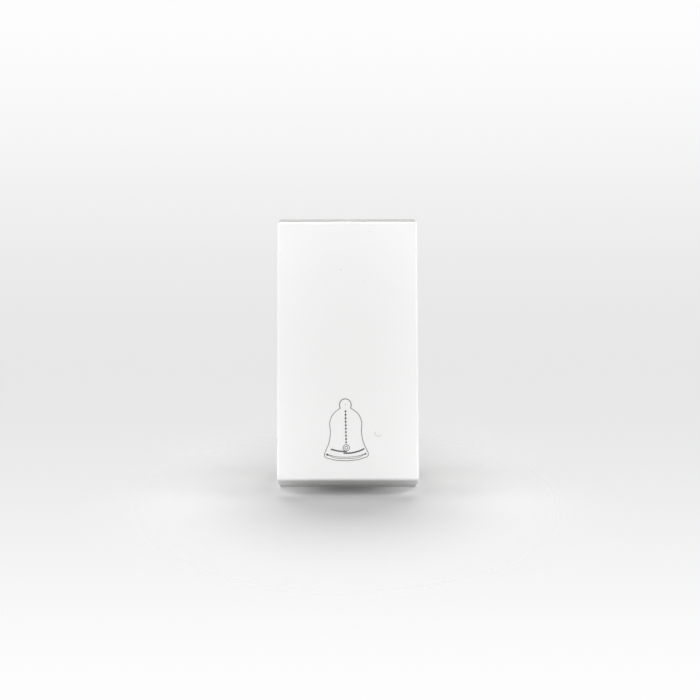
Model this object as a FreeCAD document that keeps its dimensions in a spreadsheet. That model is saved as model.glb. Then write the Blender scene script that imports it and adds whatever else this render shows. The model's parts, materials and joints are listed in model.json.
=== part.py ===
# Doorbell push button, one module wide, as a parametric document.
# A tilted key covers the whole front. Pressing its lower end swings it about two trunnions,
# and a sprung plunger tips a contact lever against a fixed contact.
# The row frame has +X to the viewer's right, +Y into the wall and +Z up.
# The origin is in the middle of the seat plane at the back of the flange.
import FreeCAD, Part
import Sketcher
import os

SIZES = [
    ("key_width", 24.0, "width of the key, one module"),
    ("key_length", 44.7, "height of the key along its face"),
    ("key_gap", 0.65, "clearance between the key's skirt and the flange at rest"),
    ("key_wall", 1.5, "wall of the key"),
    ("key_crown", 0.22, "rise of the face across its width"),
    ("key_drop", 0.75, "how far the key's middle lies below its pivot"),
    ("key_edge", 0.5, "rounding of the key's edges"),
    ("key_lip", 0.45, "rounding of the key's lower front edge"),
    ("face_reach", 5.5, "distance from the pivot to the face"),
    ("pivot_reach", 5.0, "distance from the seat plane to the pivot"),
    ("rest_tilt", 8.0, "tilt of the key at rest, in degrees"),
    ("press_angle", 12.5, "swing of the key when pressed, in degrees"),
    ("carrier_play", 0.35, "clearance beside the carrier inside the rim"),
    ("carrier_end_play", 1.1, "clearance above and below the carrier inside the rim"),
    ("carrier_plate", 1.2, "thickness of the carrier's plate"),
    ("carrier_corner", 0.8, "corner radius of the carrier's plate"),
    ("carrier_rib", 1.2, "depth of the carrier's ribs"),
    ("rib_width", 0.9, "thickness of the carrier's ribs"),
    ("rib_inset", 3.6, "distance from the carrier's side to its long ribs"),
    ("rib_end_inset", 1.8, "distance from the carrier's end to its long ribs"),
    ("leg_thickness", 1.3, "thickness of the carrier's legs"),
    ("leg_radius", 2.4, "round end of the carrier's legs"),
    ("trunnion_radius", 1.25, "radius of the trunnions"),
    ("trunnion_gap", 0.06, "radial clearance round a trunnion"),
    ("hook_inset", 2.3, "distance from the carrier's side to the key's hooks"),
    ("hook_end_inset", 6.0, "distance from the carrier's end to the middle of the key's hooks"),
    ("hook_width", 3.6, "width of each hook"),
    ("hook_post", 1.0, "thickness of each hook's post"),
    ("hook_nose", 0.45, "overhang of each hook's nose"),
    ("hook_head", 0.8, "depth of each hook's nose"),
    ("stem_radius", 2.6, "outer radius of the carrier's stem"),
    ("stem_reach", 3.6, "distance from the pivot to the stem's end"),
    ("bore_depth", 3.2, "distance from the pivot to the bottom of the stem's bore"),
    ("plunger_radius", 1.8, "radius of the plunger"),
    ("plunger_gap", 0.06, "radial clearance round the plunger"),
    ("plunger_bore", 1.3, "radius of the hollow in the plunger"),
    ("plunger_tail", 0.6, "distance from the pivot to the plunger's open end"),
    ("plunger_reach", 8.0, "distance from the pivot to the plunger's tip"),
    ("plunger_cap", 2.4, "thickness of the plunger's closed end"),
    ("plunger_wire", 0.32, "wire of the plunger's spring"),
    ("plunger_coil", 0.92, "mean radius of the plunger's spring"),
    ("plunger_turns", 9.0, "turns of the plunger's spring"),
    ("return_wire", 0.5, "wire of the return spring"),
    ("return_coil", 1.95, "mean radius of the return spring"),
    ("return_turns", 6.0, "turns of the return spring"),
    ("spring_drop", 12.5, "distance from the pivot down to the return spring"),
    ("spring_seat", 1.0, "height and wall of the collar round the return spring"),
    ("spring_gap", 0.2, "clearance round and at the ends of a spring"),
    ("peg_shift", 0.2, "how much lower the spring's peg stands"),
    ("peg_length", 1.5, "length of the spring's peg"),
    ("flange_inset", 0.3, "how far the flange stays behind the key's sides"),
    ("flange_overlap", 3.5, "how far the flange overlaps the mounting frame at each end"),
    ("flange_depth", 2.0, "thickness of the flange"),
    ("flange_corner", 0.4, "corner radius of the flange"),
    ("body_inset", 1.2, "how far the housing stays behind the key's sides"),
    ("body_height", 39.0, "height of the housing"),
    ("body_corner", 1.2, "corner radius of the housing"),
    ("sleeve_wall", 1.3, "wall of the front frame's sleeve"),
    ("sleeve_depth", 4.0, "depth of the front frame's sleeve"),
    ("floor_plate", 1.2, "thickness of the floor under the key"),
    ("rim_wall", 1.0, "wall of the raised rim"),
    ("rim_gap", 0.35, "clearance between the rim and the key"),
    ("window_gap", 0.5, "clearance round the stem in the floor"),
    ("lead_depth", 0.45, "depth of the lead-in grooves for the trunnions"),
    ("panel_thickness", 1.3, "thickness of the mounting frame behind the flange"),
    ("latch_width", 6.4, "width of the latch tongues"),
    ("latch_slot", 0.8, "slots beside the latch tongues"),
    ("latch_rise", 0.9, "height of the latch hooks"),
    ("latch_tail", 0.5, "distance from the latch hooks' ramps to the sleeve's end"),
    ("clip_spacing", 18.0, "distance between the base's clips up the housing"),
    ("clip_width", 5.0, "width of each clip"),
    ("clip_arm", 1.1, "thickness of each clip"),
    ("clip_nose", 0.8, "height of each clip's nose"),
    ("clip_head", 1.0, "depth of each clip's nose"),
    ("clip_reach", 3.0, "how far each clip reaches into the sleeve"),
    ("clip_play", 0.2, "clearance between the clips and the sleeve"),
    ("catch_play", 0.3, "play of the clips' noses in their windows"),
    ("fit_gap", 0.1, "clearance between pieces that sit in each other"),
    ("base_wall", 1.4, "side walls of the rear base"),
    ("end_wall", 1.7, "end walls of the rear base"),
    ("base_edge", 0.57, "chamfer round the rear faces of the towers"),
    ("well_depth", 5.1, "depth of the hollows beside the beam"),
    ("tower_height", 9.7, "height of each terminal tower"),
    ("chamber_depth", 10.0, "depth of the contact chamber's floor"),
    ("beam_width", 9.2, "width of the beam that carries the contacts"),
    ("well_length", 20.8, "length of the hollows beside the beam"),
    ("strip", 0.6, "thickness of the contact strips"),
    ("lever_width", 4.4, "width of the contact lever"),
    ("lever_flat", 2.4, "half length of the lever's middle trough"),
    ("lever_ramp", 2.0, "length of the ramps beside the trough"),
    ("lever_step", 0.5, "height of the ramps"),
    ("lever_tip", 1.4, "length of the lever past its contact"),
    ("lever_corner", 1.1, "corner radius of the lever's ends"),
    ("lever_bottom", 8.2, "reach of the lever's idle arm"),
    ("lever_swing", 10.0, "swing of the lever, in degrees"),
    ("lug_width", 1.6, "width of the lever's lugs"),
    ("lug_reach", 1.5, "overhang of the lever's lugs"),
    ("tip_gap", 0.15, "clearance between plunger and lever"),
    ("contact_height", 8.0, "distance from the lever's pivot to the contacts"),
    ("contact_gap", 0.1, "gap between the contacts when the key is pressed"),
    ("rivet_radius", 1.5, "head radius of the contacts"),
    ("rivet_dome", 0.7, "height of the contacts' domes"),
    ("rivet_edge", 0.25, "height of the contacts' straight edge"),
    ("rivet_shank", 0.8, "shank radius of the contacts"),
    ("rivet_tail", 1.1, "radius of the contacts' closed ends"),
    ("rivet_close", 0.35, "height of the contacts' closed ends"),
    ("arm_width", 5.0, "width of the fixed contact strip"),
    ("arm_tip", 1.8, "length of the contact arm past the contact"),
    ("riser_offset", 2.6, "distance from the contact to the riser"),
    ("bend_radius", 0.45, "rounding of the strips' bends"),
    ("bracket_top", 2.4, "half width of the bracket's cheeks"),
    ("notch_rim", 0.75, "height of the notch that holds the lever's lugs"),
    ("cheek_inset", 0.3, "how far the lever's lugs stand out of the bracket's cheeks"),
    ("cage_width", 9.0, "width of a terminal cage"),
    ("cage_height", 6.0, "depth of a terminal cage"),
    ("cage_length", 5.6, "length of a terminal cage"),
    ("cage_side", 1.1, "side walls of a terminal cage"),
    ("cage_floor", 1.0, "front wall of a terminal cage"),
    ("cage_nut", 1.6, "threaded wall of a terminal cage"),
    ("cage_bend", 0.5, "rounding of a terminal cage's bends"),
    ("plate_thickness", 0.8, "thickness of a clamp plate"),
    ("plate_length", 4.6, "length of a clamp plate"),
    ("plate_play", 0.2, "clearance beside a clamp plate"),
    ("screw_radius", 1.45, "shank radius of a terminal screw"),
    ("screw_gap", 0.05, "radial clearance in the cage's thread"),
    ("screw_length", 2.7, "shank length of a terminal screw"),
    ("screw_point", 0.36, "chamfer at the front end of a terminal screw"),
    ("head_radius", 2.6, "head radius of a terminal screw"),
    ("head_height", 1.6, "head height of a terminal screw"),
    ("head_edge", 0.32, "rounding of a terminal screw's head"),
    ("head_recess", 0.4, "how deep a backed-off screw stays in its well"),
    ("slot_width", 0.7, "width of the screw's slot"),
    ("slot_depth", 0.9, "depth of the screw's slot"),
    ("cross_reach", 1.56, "half length of the screw's short slot"),
    ("well_gap", 0.25, "radial clearance round a screw's head"),
    ("wire_radius", 1.3, "radius of a wire entry"),
    ("wire_spacing", 3.7, "distance between the two wire entries of a terminal"),
    ("wire_lead", 0.2, "chamfer at the mouth of a wire entry"),
    ("overcut", 1.0, "how far a cut runs past the faces it opens"),
]

# How near two places or directions must be to count as one, and the least change in volume that counts.
NEAR = 0.01
LEAST_CHANGE = 1e-6

# Places worked out from the sizes, as expressions. The key's pieces are drawn about the pivot.
HALF_KEY = "Sizes.key_width / 2"
KEY_TOP = "(Sizes.key_length / 2 - Sizes.key_drop)"
KEY_BOTTOM = "(-Sizes.key_length / 2 - Sizes.key_drop)"
KEY_FACE = "(-Sizes.face_reach)"
KEY_BACK = (
    "((Sizes.pivot_reach - Sizes.flange_depth - Sizes.key_gap"
    f" - {KEY_TOP} * sin(Sizes.rest_tilt)) / cos(Sizes.rest_tilt))"
)
KEY_INNER = "(Sizes.key_wall - Sizes.face_reach)"
PLATE_BACK = "(Sizes.key_wall + Sizes.carrier_plate - Sizes.face_reach)"
PRESS_TILT = "(Sizes.press_angle - Sizes.rest_tilt)"
BORE_RADIUS = "(Sizes.plunger_radius + Sizes.plunger_gap)"

# Places in the row frame.
FLANGE_FRONT = "(-Sizes.flange_depth)"
PIVOT = "(-Sizes.pivot_reach)"
RIM_HALF_X = "(Sizes.key_width / 2 - Sizes.key_wall - Sizes.rim_gap)"
RIM_HALF_Z = (
    "((Sizes.key_length / 2 - Sizes.key_drop - Sizes.key_wall) * cos(Sizes.rest_tilt)"
    " - Sizes.rim_gap)"
)
RIM_CREST = "(Sizes.face_reach - Sizes.key_wall - Sizes.rim_gap)"
CARRIER_X = f"({RIM_HALF_X} - Sizes.rim_wall - Sizes.carrier_play)"
CARRIER_Z = f"({RIM_HALF_Z} - Sizes.rim_wall - Sizes.carrier_end_play)"
HOOK_IN = f"({CARRIER_X} - Sizes.hook_inset)"
HOOK_OUT = f"({HOOK_IN} + Sizes.hook_post)"
HOOK_Z = f"({CARRIER_Z} - Sizes.hook_end_inset)"
HALF_BODY_X = "(Sizes.key_width / 2 - Sizes.body_inset)"
HALF_BODY_Z = "Sizes.body_height / 2"
SLEEVE_X = f"({HALF_BODY_X} - Sizes.sleeve_wall)"
SLEEVE_Z = "(Sizes.body_height / 2 - Sizes.sleeve_wall)"
CHAMBER_X = f"({HALF_BODY_X} - Sizes.base_wall)"
CHAMBER_Z = "(Sizes.body_height / 2 - Sizes.end_wall)"
BASE_BACK = "(Sizes.chamber_depth + Sizes.well_depth + Sizes.base_wall)"
LEVER_PIVOT = "(Sizes.plunger_reach - Sizes.pivot_reach + Sizes.tip_gap + Sizes.strip / 2)"
CONTACT_TIP = (
    f"({LEVER_PIVOT} + (Sizes.strip / 2 + Sizes.rivet_dome - Sizes.lever_step)"
    " + Sizes.contact_height * sin(Sizes.lever_swing / 2) + Sizes.contact_gap)"
)
ARM_FRONT = f"({CONTACT_TIP} + Sizes.rivet_dome)"
FOOT_FRONT = "(Sizes.chamber_depth - Sizes.strip)"
CAGE_TOP = f"({CHAMBER_Z} - Sizes.fit_gap)"
CAGE_BOTTOM = f"({CAGE_TOP} - Sizes.cage_length)"
CAGE_MIDDLE = f"({CAGE_TOP} - Sizes.cage_length / 2)"
CAGE_BACK = "(Sizes.chamber_depth + Sizes.cage_height)"
NUT_FRONT = f"({CAGE_BACK} - Sizes.cage_nut)"
PLATE_REAR = f"({NUT_FRONT} - Sizes.fit_gap)"
SCREW_NECK = f"({PLATE_REAR} + Sizes.screw_length)"
SCREW_REAR = f"({SCREW_NECK} + Sizes.head_height)"
TOWER_BACK = f"({SCREW_REAR} + Sizes.head_recess)"
WIRE_MIDDLE = (
    f"((Sizes.chamber_depth + Sizes.cage_floor + {PLATE_REAR} - Sizes.plate_thickness) / 2)"
)

doc = FreeCAD.newDocument("DoorbellPushButton")
sheet = doc.addObject("Spreadsheet::Sheet", "Sizes")
for row, (alias, value, meaning) in enumerate(SIZES, start=1):
    sheet.set(f"A{row}", str(value))
    sheet.setAlias(f"A{row}", alias)
    sheet.set(f"B{row}", meaning)
doc.recompute()

pieces = []


def number(expression):
    """The present value of an expression on the sheet."""
    return float(sheet.evalExpression(str(expression)))


def new_piece(name, offset=("0", "0", "0"), tilt="0", turned=False):
    """A body with its own label and placement. Tilt turns it about X, turned flips it top to bottom."""
    body = doc.addObject("PartDesign::Body", name)
    body.Label = name
    axis = FreeCAD.Vector(0, 1, 0) if turned else FreeCAD.Vector(1, 0, 0)
    angle = 180 if turned else number(tilt)
    place = FreeCAD.Vector(*[number(part) for part in offset])
    body.Placement = FreeCAD.Placement(place, FreeCAD.Rotation(axis, angle))
    for direction, part in zip("xyz", offset):
        body.setExpression(f"Placement.Base.{direction}", part)
    if not turned:
        body.setExpression("Placement.Rotation.Angle", f"({tilt}) * 1 deg")
    pieces.append(body)
    return body


def new_sketch(body, axis, low, shapes):
    """A sketch at the place called low on one axis, holding the given outlines."""
    role = {"X": "YZ_Plane", "Y": "XZ_Plane", "Z": "XY_Plane"}[axis]
    plane = [feature for feature in body.Origin.OriginFeatures if feature.Role == role][0]
    sketch = body.newObject("Sketcher::SketchObject", f"{body.Name}_outline")
    sketch.AttachmentSupport = [(plane, "")]
    sketch.MapMode = "FlatFace"
    offset = f"-({low})" if axis == "Y" else low
    sketch.AttachmentOffset = FreeCAD.Placement(
        FreeCAD.Vector(0, 0, number(offset)), FreeCAD.Rotation()
    )
    sketch.setExpression("AttachmentOffset.Base.z", offset)
    for shape in shapes:
        shape(sketch)
    return sketch


def fix_point(sketch, geometry, point, across, up):
    """Ties one point of a sketch to two expressions."""
    for kind, axis_line, text in (("DistanceX", -2, across), ("DistanceY", -1, up)):
        if text == "0":
            sketch.addConstraint(Sketcher.Constraint("PointOnObject", geometry, point, axis_line))
            continue
        rule = Sketcher.Constraint(kind, -1, 1, geometry, point, number(text))
        index = sketch.addConstraint(rule)
        sketch.setExpression(f"Constraints[{index}]", text)


def arc_through(start, end, radius, side):
    """The shorter arc between two points, bulging to the left (1) or the right (-1) of the way."""
    chord = end.sub(start)
    left = FreeCAD.Vector(-chord.y, chord.x, 0).normalize()
    sag = max(radius**2 - (chord.Length / 2) ** 2, 0) ** 0.5
    centre = (start + end) * 0.5 - left * sag * side
    first, last = (end, start) if side > 0 else (start, end)
    circle = Part.Circle(centre, FreeCAD.Vector(0, 0, 1), radius)
    return Part.ArcOfCircle(circle, circle.parameter(first), circle.parameter(last))


def outline(*corners):
    """A closed outline. A corner is (across, up), or (across, up, radius, side) to leave it by an arc."""

    def draw(sketch):
        points = [FreeCAD.Vector(number(c[0]), number(c[1]), 0) for c in corners]
        ends = []
        for index, corner in enumerate(corners):
            start = points[index]
            end = points[(index + 1) % len(points)]
            if len(corner) == 2:
                line = sketch.addGeometry(Part.LineSegment(start, end), False)
                ends.append((line, 1, 2))
                continue
            arc = arc_through(start, end, number(corner[2]), corner[3])
            curve = sketch.addGeometry(arc, False)
            ends.append((curve, 2, 1) if corner[3] > 0 else (curve, 1, 2))
            rule = sketch.addConstraint(Sketcher.Constraint("Radius", curve, number(corner[2])))
            sketch.setExpression(f"Constraints[{rule}]", corner[2])
        for index, (geometry, _, last) in enumerate(ends):
            following, start, _ = ends[(index + 1) % len(ends)]
            sketch.addConstraint(Sketcher.Constraint("Coincident", geometry, last, following, start))
        for (geometry, first, _), corner in zip(ends, corners):
            fix_point(sketch, geometry, first, corner[0], corner[1])

    return draw


def box(low_across, high_across, low_up, high_up):
    """A rectangle between four expressions."""
    return outline(
        (low_across, low_up), (high_across, low_up), (high_across, high_up), (low_across, high_up)
    )


def centred(half_across, half_up):
    """A rectangle about the sketch's origin."""
    return box(f"-({half_across})", half_across, f"-({half_up})", half_up)


def disc(across, up, radius):
    """A circle with its middle and radius given by expressions."""

    def draw(sketch):
        centre = FreeCAD.Vector(number(across), number(up), 0)
        circle = Part.Circle(centre, FreeCAD.Vector(0, 0, 1), number(radius))
        curve = sketch.addGeometry(circle, False)
        rule = sketch.addConstraint(Sketcher.Constraint("Radius", curve, number(radius)))
        sketch.setExpression(f"Constraints[{rule}]", radius)
        fix_point(sketch, curve, 3, across, up)

    return draw


def extrude(body, kind, axis, low, high, shapes):
    """A pad or a pocket from low to high along one axis."""
    sketch = new_sketch(body, axis, low, shapes)
    feature = body.newObject(f"PartDesign::{kind}", f"{body.Name}_{kind.lower()}")
    feature.Profile = sketch
    feature.setExpression("Length", f"({high}) - ({low})")
    feature.Reversed = (axis == "Y") == (kind == "Pad")
    sketch.Visibility = False
    return feature


def add(body, axis, low, high, *shapes):
    """Adds material and checks that it did."""
    return checked(body, extrude(body, "Pad", axis, low, high, shapes), 1)


def cut(body, axis, low, high, *shapes):
    """Takes material away and checks that it did."""
    return checked(body, extrude(body, "Pocket", axis, low, high, shapes), -1)


def checked(body, feature, sign):
    """Recomputes, and stops if a feature changed the volume the wrong way or not at all."""
    base = feature.BaseFeature
    before = base.Shape.Volume if base else 0.0
    doc.recompute()
    if (feature.Shape.Volume - before) * sign <= LEAST_CHANGE:
        raise RuntimeError(f"{feature.Name} of {body.Label} changed nothing")
    return feature


def turn(body, *shapes):
    """A solid of revolution about the Y axis, from outlines drawn as (depth, radius)."""
    sketch = new_sketch(body, "X", "0", shapes)
    feature = body.newObject("PartDesign::Revolution", f"{body.Name}_turned")
    feature.Profile = sketch
    feature.ReferenceAxis = (sketch, ["H_Axis"])
    feature.Angle = 360
    return checked(body, feature, 1)


def mirror(body, features, role):
    """Repeats features on the other side of one of the body's own planes."""
    plane = [feature for feature in body.Origin.OriginFeatures if feature.Role == role][0]
    mirrored = body.newObject("PartDesign::Mirrored", f"{body.Name}_mirrored")
    mirrored.Originals = features
    mirrored.MirrorPlane = (plane, [""])
    body.Tip = mirrored
    doc.recompute()
    return mirrored


def dress(body, kind, size, chosen):
    """A fillet or chamfer on the edges of the body's tip that the test picks."""
    base = body.Tip
    names = [f"Edge{i}" for i, edge in enumerate(base.Shape.Edges, start=1) if chosen(edge)]
    if not names:
        raise RuntimeError(f"no edge to dress on {body.Label}")
    feature = body.newObject(f"PartDesign::{kind}", f"{body.Name}_{kind.lower()}")
    feature.Base = (base, names)
    feature.setExpression("Radius" if kind == "Fillet" else "Size", size)
    body.Tip = feature
    doc.recompute()
    return feature


def runs_along(edge, direction):
    """True for a straight edge along one axis."""
    if edge.Curve.TypeId != "Part::GeomLine":
        return False
    return 1 - abs(getattr(edge.tangentAt(edge.FirstParameter), direction)) < NEAR


def lies_at(edge, **places):
    """True for an edge whose middle is at the given places."""
    middle = edge.CenterOfMass
    return all(abs(getattr(middle, axis) - place) < NEAR for axis, place in places.items())


def coil(body, wire, radius, low, high, turns):
    """A coil spring about the Y axis between two places along it."""
    ring = disc(f"({low}) + ({wire}) / 2", radius, f"({wire}) / 2")
    sketch = new_sketch(body, "X", "0", [ring])
    feature = body.newObject("PartDesign::AdditiveHelix", f"{body.Name}_coil")
    feature.Profile = sketch
    feature.ReferenceAxis = (sketch, ["H_Axis"])
    feature.Mode = "height-turns-growth"
    feature.Growth = 0
    feature.setExpression("Height", f"({high}) - ({low}) - ({wire})")
    feature.setExpression("Turns", turns)
    return checked(body, feature, 1)


def key_cover():
    """The key that shows at the front: a shallow shell with a crowned face and four snap hooks."""
    body = new_piece("key_cover", ("0", PIVOT, "0"), "-Sizes.rest_tilt")
    arch = "((Sizes.key_width ^ 2 / 4 + Sizes.key_crown ^ 2) / (2 * Sizes.key_crown))"
    shoulder = f"({KEY_FACE} + Sizes.key_crown)"
    section = outline(
        (f"-{HALF_KEY}", shoulder, arch, -1),
        (HALF_KEY, shoulder),
        (HALF_KEY, KEY_BACK),
        (f"-{HALF_KEY}", KEY_BACK),
    )
    add(body, "Z", KEY_BOTTOM, KEY_TOP, section)
    top = number(KEY_TOP)
    bottom = number(KEY_BOTTOM)
    half = number(HALF_KEY)
    dress(body, "Fillet", "Sizes.key_lip", lambda edge: is_lip(edge, bottom))
    dress(body, "Fillet", "Sizes.key_edge", lambda edge: is_outer_edge(edge, half, top))
    inner_x = "(Sizes.key_width / 2 - Sizes.key_wall)"
    hollow = box(f"-{inner_x}", inner_x, f"{KEY_BOTTOM} + Sizes.key_wall", f"{KEY_TOP} - Sizes.key_wall")
    cut(body, "Y", KEY_INNER, f"{KEY_BACK} + Sizes.overcut", hollow)
    nose_out = f"({HOOK_OUT} + Sizes.hook_nose)"
    nose_start = f"({PLATE_BACK} + Sizes.fit_gap)"
    nose_end = f"({nose_start} + Sizes.hook_head)"
    for middle in (HOOK_Z, f"-{HOOK_Z}"):
        low = f"({middle} - Sizes.hook_width / 2)"
        high = f"({middle} + Sizes.hook_width / 2)"
        post = add(body, "Y", f"{KEY_INNER} - Sizes.fit_gap", nose_end, box(HOOK_IN, HOOK_OUT, low, high))
        nose = add(body, "Y", nose_start, nose_end, box(HOOK_IN, nose_out, low, high))
        mirror(body, [post, nose], "YZ_Plane")


def is_lip(edge, bottom):
    """The lower front edge of the key, curved by the crown."""
    middle = edge.CenterOfMass
    front = middle.y < number(KEY_FACE) + number("Sizes.key_crown")
    return front and abs(middle.z - bottom) < NEAR


def is_outer_edge(edge, half, top):
    """The edges round the face and at the key's outer corners, not those at its open back."""
    middle = edge.CenterOfMass
    if middle.y > number(KEY_BACK) - NEAR:
        return False
    at_side = abs(abs(middle.x) - half) < NEAR
    return at_side or abs(middle.z - top) < NEAR


def rocker_carrier():
    """The carrier clipped inside the key: plate, ribs, two legs with trunnions, stem and spring peg."""
    body = new_piece("rocker_carrier", ("0", PIVOT, "0"), "-Sizes.rest_tilt")
    add(body, "Y", KEY_INNER, PLATE_BACK, centred(CARRIER_X, CARRIER_Z))
    dress(body, "Fillet", "Sizes.carrier_corner", lambda edge: runs_along(edge, "y"))
    rib_in = f"({CARRIER_X} - Sizes.rib_inset - Sizes.rib_width / 2)"
    rib_out = f"({CARRIER_X} - Sizes.rib_inset + Sizes.rib_width / 2)"
    rib_end = f"({CARRIER_Z} - Sizes.rib_end_inset)"
    rib_back = f"{PLATE_BACK} + Sizes.carrier_rib"
    rib = add(body, "Y", PLATE_BACK, rib_back, box(rib_in, rib_out, f"-{rib_end}", rib_end))
    mirror(body, [rib], "YZ_Plane")
    half_rib = "(Sizes.rib_width / 2)"
    add(body, "Y", PLATE_BACK, rib_back, box(f"-{half_rib}", half_rib, "0", rib_end))
    leg_in = f"({CARRIER_X} - Sizes.leg_thickness)"
    web = box(f"{PLATE_BACK} - Sizes.fit_gap", "0", "-Sizes.leg_radius", "Sizes.leg_radius")
    upright = add(body, "X", leg_in, CARRIER_X, web)
    ending = add(body, "X", leg_in, CARRIER_X, disc("0", "0", "Sizes.leg_radius"))
    trunnion_end = f"({RIM_HALF_X} - Sizes.fit_gap)"
    trunnion = add(body, "X", CARRIER_X, trunnion_end, disc("0", "0", "Sizes.trunnion_radius"))
    mirror(body, [upright, ending, trunnion], "YZ_Plane")
    add(body, "Y", PLATE_BACK, "Sizes.stem_reach", disc("0", "0", "Sizes.stem_radius"))
    cut(body, "Y", "-Sizes.bore_depth", "Sizes.stem_reach + Sizes.overcut", disc("0", "0", BORE_RADIUS))
    peg_radius = "(Sizes.return_coil - Sizes.return_wire / 2 - Sizes.peg_shift - Sizes.spring_gap)"
    peg_middle = "(-Sizes.spring_drop - Sizes.peg_shift)"
    add(body, "Y", PLATE_BACK, f"{PLATE_BACK} + Sizes.peg_length", disc("0", peg_middle, peg_radius))
    window_in = f"({HOOK_IN} - Sizes.fit_gap)"
    window_out = f"({HOOK_OUT} + Sizes.fit_gap)"
    for left, right in ((window_in, window_out), (f"-{window_out}", f"-{window_in}")):
        for middle in (HOOK_Z, f"-{HOOK_Z}"):
            low = f"({middle} - Sizes.hook_width / 2 - Sizes.fit_gap)"
            high = f"({middle} + Sizes.hook_width / 2 + Sizes.fit_gap)"
            cut(body, "Y", KEY_INNER, f"{rib_back} + Sizes.overcut", box(left, right, low, high))


def plunger():
    """The hollow nylon plunger with a round tip, sliding in the carrier's stem."""
    body = new_piece("plunger", ("0", PIVOT, "0"), "-Sizes.rest_tilt")
    tail = "-Sizes.plunger_tail"
    dome = "(Sizes.plunger_reach - Sizes.plunger_radius)"
    bottom = "(Sizes.plunger_reach - Sizes.plunger_cap)"
    profile = outline(
        (tail, "Sizes.plunger_bore"),
        (tail, "Sizes.plunger_radius"),
        (dome, "Sizes.plunger_radius", "Sizes.plunger_radius", 1),
        ("Sizes.plunger_reach", "0"),
        (bottom, "0"),
        (bottom, "Sizes.plunger_bore"),
    )
    turn(body, profile)


def plunger_spring():
    """The spring between the stem's bottom and the plunger's closed end."""
    body = new_piece("plunger_spring", ("0", PIVOT, "0"), "-Sizes.rest_tilt")
    low = "(-Sizes.bore_depth + Sizes.spring_gap)"
    high = "(Sizes.plunger_reach - Sizes.plunger_cap - Sizes.spring_gap)"
    coil(body, "Sizes.plunger_wire", "Sizes.plunger_coil", low, high, "Sizes.plunger_turns")


def return_spring():
    """The coil spring that lifts the lower half of the key."""
    body = new_piece("return_spring", ("0", "0", "-Sizes.spring_drop"))
    low = f"({FLANGE_FRONT} - Sizes.spring_gap)"
    seat = "(Sizes.pivot_reach - PLATE * cos(Sizes.rest_tilt) + DROP * sin(Sizes.rest_tilt))"
    outer = "(Sizes.return_coil + Sizes.return_wire / 2)"
    drop = f"(Sizes.spring_drop - {outer})"
    seat = seat.replace("PLATE", PLATE_BACK).replace("DROP", drop)
    high = f"(-{seat} + Sizes.spring_gap)"
    coil(body, "Sizes.return_wire", "Sizes.return_coil", high, low, "Sizes.return_turns")


def front_frame():
    """The front of the housing: flange, floor, raised rim with trunnion holes, sleeve and latches."""
    body = new_piece("front_frame")
    half_flange_x = f"({HALF_KEY} - Sizes.flange_inset)"
    half_flange_z = f"({HALF_BODY_Z} + Sizes.flange_overlap)"
    add(body, "Y", FLANGE_FRONT, "0", centred(half_flange_x, half_flange_z))
    dress(body, "Fillet", "Sizes.flange_corner", lambda edge: runs_along(edge, "y"))
    add(body, "Y", "0", "Sizes.sleeve_depth", centred(HALF_BODY_X, HALF_BODY_Z))
    dress(body, "Fillet", "Sizes.body_corner", is_body_corner)
    slope_top = f"({PIVOT} - {RIM_CREST} / cos(Sizes.rest_tilt) + {RIM_HALF_Z} * tan(Sizes.rest_tilt))"
    slope_low = f"({PIVOT} - {RIM_CREST} / cos({PRESS_TILT}) + {RIM_HALF_Z} * tan({PRESS_TILT}))"
    crest = f"({PIVOT} - {RIM_CREST})"
    roof = outline(
        (f"{FLANGE_FRONT} + Sizes.fit_gap", RIM_HALF_Z),
        (slope_top, RIM_HALF_Z),
        (crest, "0"),
        (slope_low, f"-{RIM_HALF_Z}"),
        (f"{FLANGE_FRONT} + Sizes.fit_gap", f"-{RIM_HALF_Z}"),
    )
    add(body, "X", f"-{RIM_HALF_X}", RIM_HALF_X, roof)
    rim_in_x = f"({RIM_HALF_X} - Sizes.rim_wall)"
    rim_in_z = f"({RIM_HALF_Z} - Sizes.rim_wall)"
    cut(body, "Y", f"{crest} - Sizes.overcut", FLANGE_FRONT, centred(rim_in_x, rim_in_z))
    floor_back = f"({FLANGE_FRONT} + Sizes.floor_plate)"
    cut(body, "Y", floor_back, "Sizes.sleeve_depth + Sizes.overcut", centred(SLEEVE_X, SLEEVE_Z))
    window_x = "(Sizes.stem_radius + Sizes.window_gap)"
    window_z = f"({window_x} + Sizes.pivot_reach * sin(Sizes.rest_tilt))"
    window_front = f"({FLANGE_FRONT} - Sizes.overcut)"
    window_back = f"({floor_back} + Sizes.overcut)"
    cut(body, "Y", window_front, window_back, centred(window_x, window_z))
    far_x = f"({RIM_HALF_X} + Sizes.overcut)"
    hole = "(Sizes.trunnion_radius + Sizes.trunnion_gap)"
    cut(body, "X", f"-{far_x}", far_x, disc(PIVOT, "0", hole))
    lead = box(f"{crest} - Sizes.overcut", PIVOT, f"-{hole}", hole)
    cut(body, "X", f"-{rim_in_x} - Sizes.lead_depth", f"{rim_in_x} + Sizes.lead_depth", lead)
    spring_outer = "(Sizes.return_coil + Sizes.return_wire / 2 + Sizes.spring_gap)"
    collar = f"({spring_outer} + Sizes.spring_seat)"
    seat = "-Sizes.spring_drop"
    ring = (disc("0", seat, collar), disc("0", seat, spring_outer))
    add(body, "Y", f"{FLANGE_FRONT} - Sizes.spring_seat", FLANGE_FRONT, *ring)
    clip_catch(body)
    latches(body)


def is_body_corner(edge):
    """True for an edge along the wall's depth at one of the housing's four corners."""
    middle = edge.CenterOfMass
    at_side = abs(abs(middle.x) - number(HALF_BODY_X)) < NEAR
    at_end = abs(abs(middle.z) - number(HALF_BODY_Z)) < NEAR
    return runs_along(edge, "y") and at_side and at_end


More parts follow.
